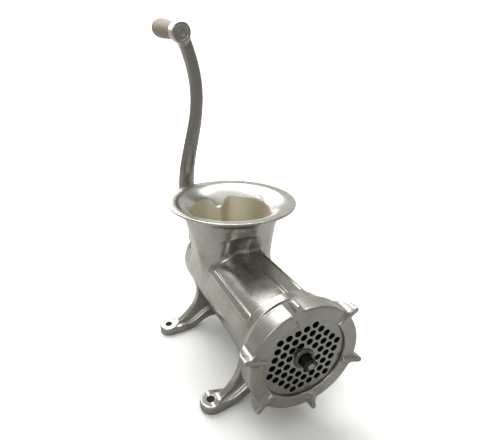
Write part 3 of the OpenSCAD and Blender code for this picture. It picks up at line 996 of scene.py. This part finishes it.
def finishes():
    """Every material of the object, built once."""
    if "tinned casting" in bpy.data.materials:
        return
    colours = bpy.context.scene.grinder_finish
    grain_group()
    rub_grime_and_painted_light_group()
    tin, stain = tuple(colours.tin), tuple(colours.stain)
    ground, dark = tuple(colours.ground), tuple(colours.dark)
    ring_tin = tuple(c * 0.96 for c in tin)
    crank_tin = tuple(c * 0.9 for c in tin)
    metal("tinned casting", tin, stain, rough=0.23, grain=0.5, waves=1.6, pits=1.2, bump=0.3)
    metal("ring casting", ring_tin, stain, rough=0.32, grain=0.7, waves=1.4, pits=1.2, bump=0.35)
    metal("crank casting", crank_tin, stain, rough=0.24, grain=0.6, waves=1.2, pits=1.4, bump=0.3)
    metal("screw casting", tin, stain, rough=0.33, grain=0.5, waves=1.0, pits=0.6, bump=0.25, film=0.6)
    metal("ground plate", ground, stain, rough=0.2, grain=0.25, waves=2.0, pits=0.3, bump=0.3)
    metal("dull steel", (0.16, 0.155, 0.14), (0.05, 0.048, 0.04),
          rough=0.3, grain=0.3, waves=0.5, pits=0.3, bump=0.15)
    metal("dark steel", dark, (0.03, 0.03, 0.025), rough=0.3, grain=0.3, waves=0.3, pits=0.3, bump=0.15)
    metal("bush bronze", (0.50, 0.33, 0.15), (0.2, 0.12, 0.05),
          rough=0.3, grain=0.3, waves=0.3, pits=0.2, bump=0.1, film=0.4)
    wood_material("grip wood", tuple(colours.wood))
    fibre_material("washer fibre")


# --------------------------------------------------------------------- pieces


def add_piece(name, mesh, body, material, slot, *nodes):
    """Links a finished piece, gives it its finish and stands it in for its nodes."""
    finishes()
    piece = bpy.data.objects.new(name, mesh)
    bpy.context.scene.collection.objects.link(piece)
    mesh.materials.clear()
    mesh.materials.append(bpy.data.materials[material])
    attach(piece, body)
    if nodes:
        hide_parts(*nodes)
    return piece


def box_of(node, margin=0):
    """Corners of a node's box with a margin, for the grid of a field."""
    low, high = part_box(node)
    return np.array(low) - margin, np.array(high) + margin


def mark_painted_throat_light(mesh):
    """Marks the inside of the throat in an attribute, where the metal is painted a lighter tan: painted
    light.
    """
    co = np.empty(len(mesh.vertices) * 3)
    mesh.vertices.foreach_get("co", co)
    x, y, z = co.reshape(-1, 3).T
    zb = z - AXIS_Z
    depth = throat_field(x, y - HOPPER_Y, zb)
    inside = smooth_step(1 - (depth - 0.3 * MM) / (1.2 * MM)) * smooth_step((zb - 20 * MM) / (20 * MM))
    painted_throat_light = mesh.attributes.new("painted_throat_light", "FLOAT", "POINT")
    painted_throat_light.data.foreach_set("value", inside.astype(np.float32))


class GRINDER_OT_body(bpy.types.Operator):
    """Body casting with barrel, hopper and legs"""

    bl_idname = "grinder.body"
    bl_label = "Body casting"

    def execute(self, context):
        cell = context.scene.grinder_sizes.cell
        fine_z = [(BODY_TOP - 6 * MM, BODY_TOP + 2 * MM, 0.5), (-2 * MM, 9 * MM, 0.7)]
        mesh = field_mesh("body", body_field, *box_of("body_casting"), step=cell, fine=((), (), fine_z))
        mark_painted_throat_light(mesh)
        add_piece("body_finish", mesh, "body", "tinned casting", "tinned_casting", "body_casting")
        return {"FINISHED"}


class GRINDER_OT_bearings(bpy.types.Operator):
    """Bush, washer and plate pin that sit in the body"""

    bl_idname = "grinder.bearings"
    bl_label = "Bush, thrust washer and pin"

    def execute(self, context):
        low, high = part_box("rear_bush")
        mesh = sleeve("bush", (14.05 * MM, 17.9 * MM), (0, high.y - low.y), 0.6 * MM,
                      Vector((0, low.y, AXIS_Z)))
        add_piece("rear_bush_finish", mesh, "body", "bush bronze", "bush_bronze", "rear_bush")
        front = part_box("thrust_washer")[0].y
        mesh = sleeve("thrust", (14.4 * MM, 29.9 * MM), (0, 3.5 * MM), 0.4 * MM, Vector((0, front, AXIS_Z)))
        add_piece("thrust_washer_finish", mesh, "body", "washer fibre", "fibre", "thrust_washer")
        low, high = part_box("plate_pin")
        start = Vector(((low.x + high.x) / 2, low.y, (low.z + high.z) / 2))
        mesh = sleeve("pin", (0, 2.2 * MM), (0, 12 * MM), 0.5 * MM, start, sides=32)
        add_piece("plate_pin_finish", mesh, "body", "dark steel", "dark_steel", "plate_pin")
        return {"FINISHED"}


class GRINDER_OT_screw(bpy.types.Operator):
    """Feed screw, stud and knife, which turn together"""

    bl_idname = "grinder.screw"
    bl_label = "Feed screw, stud and knife"

    def execute(self, context):
        start = Vector((0, FACE_Y, AXIS_Z))
        front = SCREW_FRONT - FACE_Y
        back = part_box("thrust_washer")[0].y - FACE_Y - 0.3 * MM
        end, bottom = 283.5 * MM, front + 30 * MM
        outline = [(9 * MM, front), (15.8 * MM, front), (16 * MM, back - 36 * MM),
                   (19 * MM, back - 14 * MM), (26 * MM, back - 9.7 * MM), (26 * MM, back),
                   (14 * MM, back), (14 * MM, end), (0, end), (0, bottom), (9 * MM, bottom)]
        core = turned("screw", rounded_profile(outline, 0.8 * MM), start, (0, 1, 0), 64)
        flight = screw_mesh()
        centre = Vector((0, FACE_Y + 298 * MM, AXIS_Z))
        square = merged_box(centre, (9.5 * MM, 14.4 * MM, 9.5 * MM), 1.2 * MM)
        mesh = joined("feed_screw_mesh", [core, flight, square])
        add_piece("feed_screw_finish", mesh, "drive", "screw casting", "tinned_casting", "feed_screw")
        mesh = with_bevel(merged_node("cross_knife"), "cross_knife", 0.4 * MM)
        add_piece("cross_knife_finish", mesh, "drive", "ground plate", "ground_steel", "cross_knife")
        mesh = with_bevel(merged_node("screw_stud"), "screw_stud", 0.5 * MM)
        front = dished_end(mesh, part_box("screw_stud")[0].y)
        piece = add_piece("screw_stud_finish", mesh, "drive", "dark steel", "dark_steel", "screw_stud")
        piece.data.materials.append(bpy.data.materials["ground plate"])
        for index in front:
            piece.data.polygons[index].material_index = 1
        return {"FINISHED"}


def dished_end(mesh, front):
    """Chamfers the stud's front end and returns the faces left flat."""
    work = bmesh.new()
    work.from_mesh(mesh)
    near = front + 0.2 * MM
    ends = [face for face in work.faces if face.normal.y < -0.99 and face.calc_center_median().y < near]
    bmesh.ops.inset_region(work, faces=ends, thickness=1.7 * MM, use_even_offset=True)
    flat = set(ends)
    inner = {vert for face in flat for vert in face.verts}
    for vert in work.verts:
        if vert.co.y < front + 1.2 * MM and vert not in inner:
            vert.co.y += 0.9 * MM
    for face in flat:
        face.smooth = False
    work.faces.index_update()
    found = [face.index for face in flat]
    work.to_mesh(mesh)
    work.free()
    return found


def merged_box(centre, half, bevel):
    """Box mesh with rounded edges."""
    work = bmesh.new()
    bmesh.ops.create_cube(work, size=2)
    bmesh.ops.scale(work, vec=half, verts=work.verts)
    bmesh.ops.translate(work, vec=centre, verts=work.verts)
    bmesh.ops.bevel(work, geom=work.edges[:], offset=bevel, segments=3, affect="EDGES", profile=0.5)
    mesh = bpy.data.meshes.new("box")
    work.to_mesh(mesh)
    work.free()
    return mesh


def joined(name, meshes):
    """One mesh made of several closed ones."""
    work = bmesh.new()
    for mesh in meshes:
        work.from_mesh(mesh)
    for face in work.faces:
        face.smooth = True
    result = bpy.data.meshes.new(name)
    work.to_mesh(result)
    work.free()
    return result


class GRINDER_OT_plate(bpy.types.Operator):
    """Grinding plate, drilled by geometry nodes, and its bush"""

    bl_idname = "grinder.plate"
    bl_label = "Grinding plate and bush"

    def execute(self, context):
        finishes()
        sizes = context.scene.grinder_sizes
        carrier = bpy.data.objects.new("plate_work", bpy.data.meshes.new("plate_work"))
        context.scene.collection.objects.link(carrier)
        nodes = carrier.modifiers.new("holes", "NODES")
        nodes.node_group = plate_tree()
        set_input(nodes, "Pitch", sizes.hole_pitch)
        set_input(nodes, "Hole Radius", sizes.hole_diameter / 2)
        set_input(nodes, "Turn", sizes.hole_turn)
        set_input(nodes, "Material", bpy.data.materials["ground plate"])
        mesh = plain_copy(carrier, "plate")
        stand = Matrix.Translation((0, PLATE_HIGH.y, AXIS_Z)) @ Matrix.Rotation(math.radians(90), 4, "X")
        mesh.transform(stand)
        merge_and_face_out(mesh)
        mesh = with_bevel(mesh, "plate", 0.35 * MM)
        add_piece("grinding_plate_finish", mesh, "plate", "ground plate", "ground_steel", "grinding_plate")
        outline = [(7.06 * MM, 0), (7.6 * MM, -2.6 * MM), (9.6 * MM, -2.6 * MM), (11.4 * MM, -1 * MM),
                   (11.5 * MM, 9.4 * MM), (7.06 * MM, 9.4 * MM)]
        start = Vector((0, FACE_Y, AXIS_Z))
        mesh = turned("bush", rounded_profile(outline, 0.6 * MM), start, (0, 1, 0), 64)
        add_piece("plate_bush_finish", mesh, "plate", "dull steel", "ground_steel", "plate_bush")
        return {"FINISHED"}


class GRINDER_OT_ring(bpy.types.Operator):
    """Ring nut with swept lugs"""

    bl_idname = "grinder.ring"
    bl_label = "Ring nut"

    def execute(self, context):
        mesh = field_mesh("ring", ring_field, *box_of("ring_nut"), step=1.05 * MM)
        add_piece("ring_nut_finish", mesh, "ring", "ring casting", "tinned_casting", "ring_nut")
        return {"FINISHED"}


class GRINDER_OT_crank(bpy.types.Operator):
    """Crank arm, washer and wing screw"""

    bl_idname = "grinder.crank"
    bl_label = "Crank arm and wing screw"

    def execute(self, context):
        mesh = field_mesh("crank", crank_field, *box_of("crank_arm"), step=1.0 * MM)
        add_piece("crank_arm_finish", mesh, "drive", "crank casting", "tinned_casting", "crank_arm")
        start = Vector((0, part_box("crank_washer")[0].y, AXIS_Z))
        mesh = sleeve("washer", (5.3 * MM, 15 * MM), (0, 3 * MM), 0.5 * MM, start, sides=64)
        add_piece("crank_washer_finish", mesh, "washer", "dark steel", "dark_steel", "crank_washer")
        mesh = field_mesh("wing", thumb_field, *box_of("thumb_screw", 1 * MM), step=0.8 * MM)
        add_piece("thumb_screw_finish", mesh, "thumb", "ground plate", "ground_steel", "thumb_screw")
        return {"FINISHED"}


class GRINDER_OT_grip(bpy.types.Operator):
    """Wooden grip, its spindle and washers"""

    bl_idname = "grinder.grip"
    bl_label = "Grip"

    def execute(self, context):
        spin = joint("grip_spin")
        start, axis = Vector(spin["pos_m"]), Vector(spin["axis"])
        length = 91
        wood = [(5.05, 0), (9.7, 0), (10.5, 1.4), (11.2, 18), (12.2, 40), (13.2, 64), (13.35, 76),
                (12.9, 83.5), (11.4, 88.6), (9.4, length), (8.3, length), (8.3, length - 6.5),
                (5.05, length - 6.5)]
        base = 14.7
        outline = [(r * MM, (base + h) * MM) for r, h in wood]
        mesh = turned("wood", rounded_profile(outline, 4 * MM, 4), start, axis)
        add_piece("wood_grip_finish", mesh, "grip", "grip wood", "pale_wood", "wood_grip")
        head = base + length - 5
        outline = [(0, -9.9), (3.6, -9.9), (5, -9.2), (5, head), (7.2, head), (7.2, head + 2),
                   (5.4, head + 3.6), (0, head + 3.6)]
        outline = [(r * MM, h * MM) for r, h in outline]
        mesh = turned("spindle", rounded_profile(outline, 0.5 * MM), start, axis, 48)
        piece = add_piece("grip_spindle_finish", mesh, "drive", "dark steel", "dark_steel", "grip_spindle")
        piece.data.materials.append(bpy.data.materials["crank casting"])
        for polygon in piece.data.polygons:
            polygon.material_index = int((polygon.center - start).dot(axis) < -8.5 * MM)
        mesh = sleeve("washer", (5 * MM, 11.8 * MM), (10.5 * MM, 14.5 * MM), 0.6 * MM, start, axis, 64)
        add_piece("grip_washer_finish", mesh, "drive", "dark steel", "dark_steel", "grip_washer")
        along = ((head - 1.4) * MM, head * MM)
        mesh = sleeve("washer", (5 * MM, 8 * MM), along, 0.3 * MM, start, axis, 48)
        add_piece("grip_end_washer_finish", mesh, "drive", "dark steel", "dark_steel", "grip_end_washer")
        return {"FINISHED"}


# ---------------------------------------------------------------------- stage


def area_light(name, place, target, size, power):
    """Square soft light aimed at a point."""
    lamp = bpy.data.lights.new(name, "AREA")
    lamp.size = size
    lamp.energy = power
    obj = bpy.data.objects.new(name, lamp)
    obj.location = place
    obj.rotation_euler = (Vector(target) - Vector(place)).to_track_quat("-Z", "Y").to_euler()
    bpy.context.scene.collection.objects.link(obj)
    return obj


class GRINDER_OT_stage(bpy.types.Operator):
    """Floor, soft lights and camera"""

    bl_idname = "grinder.stage"
    bl_label = "Stage"

    def execute(self, context):
        stage = context.scene.grinder_stage
        reach, cove, top = 1.9, 0.6, 1.6
        profile = [(0, 0), (reach, 0)]
        for a in np.linspace(0.1, math.pi / 2, 14):
            profile.append((reach + cove * math.sin(a), cove * (1 - math.cos(a))))
        profile.append((reach + cove, top))
        mesh = turned("floor", profile, Vector((0, 0.1, 0)), (0, 0, 1), 96)
        floor = bpy.data.objects.new("studio_floor", mesh)
        context.scene.collection.objects.link(floor)
        material, tree, shader, _ = start_material("studio floor")
        shader.inputs["Roughness"].default_value = 0.9
        seen = add_node(tree, "ShaderNodeLightPath", (-4, 0)).outputs["Is Camera Ray"]
        tone = blend_colours(tree, seen, tuple(stage.bounce), tuple(stage.backdrop))
        tree.links.new(tone, shader.inputs["Base Color"])
        mesh.materials.append(material)
        world = bpy.data.worlds.new("studio")
        context.scene.world = world
        world.use_nodes = True
        background = world.node_tree.nodes["Background"]
        background.inputs["Color"].default_value = (*stage.surround, 1)
        background.inputs["Strength"].default_value = 1
        target = (0, 0.05, 0.1)
        area_light("overhead", (-0.1, 0.1, 2.1), target, 2.6, 23)
        area_light("window", (-0.15, 1.35, 1.15), target, 1.2, 15)
        area_light("fill", (-1.4, -0.9, 1.3), target, 0.8, 7)
        area_light("backdrop_light", (0.3, 0.9, 2.0), (0.7, 2.4, 0.6), 1.4, 68)
        azimuth, elevation, roll = stage.azimuth, stage.elevation, stage.roll
        back = Vector((math.sin(azimuth) * math.cos(elevation), -math.cos(azimuth) * math.cos(elevation),
                       math.sin(elevation)))
        level = Vector((math.cos(azimuth), math.sin(azimuth), 0))
        upright = back.cross(level)
        right = level * math.cos(roll) + upright * math.sin(roll)
        up = upright * math.cos(roll) - level * math.sin(roll)
        camera = bpy.data.objects.new("camera", bpy.data.cameras.new("camera"))
        context.scene.collection.objects.link(camera)
        camera.matrix_world = Matrix((right, up, back)).transposed().to_4x4()
        camera.location = Vector((0, FACE_Y, AXIS_Z)) + back * stage.distance
        camera.location += right * stage.side + up * stage.rise
        camera.data.lens = stage.lens
        camera.data.sensor_width = 36
        camera.data.shift_x, camera.data.shift_y = stage.shift
        camera.data.clip_start = 0.01
        context.scene.camera = camera
        context.scene.view_settings.view_transform = "Standard"
        return {"FINISHED"}


# ---------------------------------------------------------------- panel, main


class GRINDER_PT_panel(bpy.types.Panel):
    """Buttons that build the grinder piece by piece"""

    bl_label = "Meat grinder"
    bl_idname = "GRINDER_PT_panel"
    bl_space_type = "VIEW_3D"
    bl_region_type = "UI"
    bl_category = "Grinder"

    def draw(self, context):
        for operator in OPERATORS:
            self.layout.operator(operator.bl_idname)
        for group in ("grinder_sizes", "grinder_finish", "grinder_stage"):
            settings = getattr(context.scene, group)
            column = self.layout.column()
            for key in settings.__annotations__:
                column.prop(settings, key)


OPERATORS = (GRINDER_OT_body, GRINDER_OT_bearings, GRINDER_OT_screw, GRINDER_OT_plate, GRINDER_OT_ring,
             GRINDER_OT_crank, GRINDER_OT_grip, GRINDER_OT_stage)
GROUPS = {"grinder_sizes": GrinderSizes, "grinder_finish": GrinderFinish, "grinder_stage": GrinderStage}


def register():
    """Registers the classes and hangs the settings on the scene."""
    for name, group in GROUPS.items():
        bpy.utils.register_class(group)
        setattr(bpy.types.Scene, name, bpy.props.PointerProperty(type=group))
    for operator in OPERATORS:
        bpy.utils.register_class(operator)
    bpy.utils.register_class(GRINDER_PT_panel)


def unregister():
    """Takes the classes and settings away again."""
    bpy.utils.unregister_class(GRINDER_PT_panel)
    for operator in reversed(OPERATORS):
        bpy.utils.unregister_class(operator)
    for name, group in GROUPS.items():
        delattr(bpy.types.Scene, name)
        bpy.utils.unregister_class(group)


def main():
    """Builds every piece and the stage."""
    register()
    for operator in OPERATORS:
        group, name = operator.bl_idname.split(".")
        getattr(getattr(bpy.ops, group), name)()


if __name__ == "__main__":
    main()
